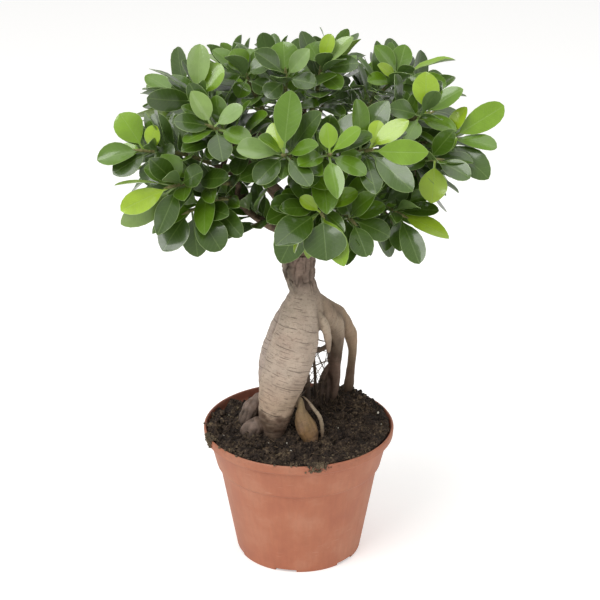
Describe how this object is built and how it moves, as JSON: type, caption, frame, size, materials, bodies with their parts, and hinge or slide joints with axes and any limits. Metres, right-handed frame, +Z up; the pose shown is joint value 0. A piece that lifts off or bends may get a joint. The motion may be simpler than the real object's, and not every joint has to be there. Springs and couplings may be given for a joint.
{
  "type": "ginseng ficus",
  "caption": "Potted ginseng ficus: swollen aerial roots under a dense rounded crown of glossy oval leaves, in a terracotta-coloured nursery pot.",
  "frame": {"origin": "on the ground under the pot's axis", "axes": "+Z up, the front of the plant faces -Y, +X to its right as seen from the front"},
  "size_m": [0.284, 0.2493, 0.4263],
  "materials": {
    "pot_plastic": "satin",
    "peat_soil": "matte",
    "root_bark": "matte",
    "branch_bark": "matte",
    "leaf": "satin"
  },
  "bodies": {
    "root": {"branches": "branch_bark", "caudex": "root_bark", "pot": "pot_plastic", "shoot_01": "leaf", "shoot_02": "leaf", "shoot_03": "leaf", "shoot_04": "leaf", "shoot_05": "leaf", "shoot_06": "leaf", "shoot_07": "leaf", "shoot_08": "leaf", "shoot_09": "leaf", "shoot_10": "leaf", "shoot_11": "leaf", "shoot_12": "leaf", "shoot_13": "leaf", "shoot_14": "leaf", "shoot_15": "leaf", "shoot_16": "leaf", "shoot_17": "leaf", "shoot_18": "leaf", "shoot_19": "leaf", "shoot_20": "leaf", "shoot_21": "leaf", "shoot_22": "leaf", "shoot_23": "leaf", "shoot_24": "leaf", "shoot_25": "leaf", "shoot_26": "leaf", "shoot_27": "leaf", "shoot_28": "leaf", "shoot_29": "leaf", "shoot_30": "leaf", "shoot_31": "leaf", "shoot_32": "leaf", "soil": "peat_soil"}
  },
  "joints": []
}
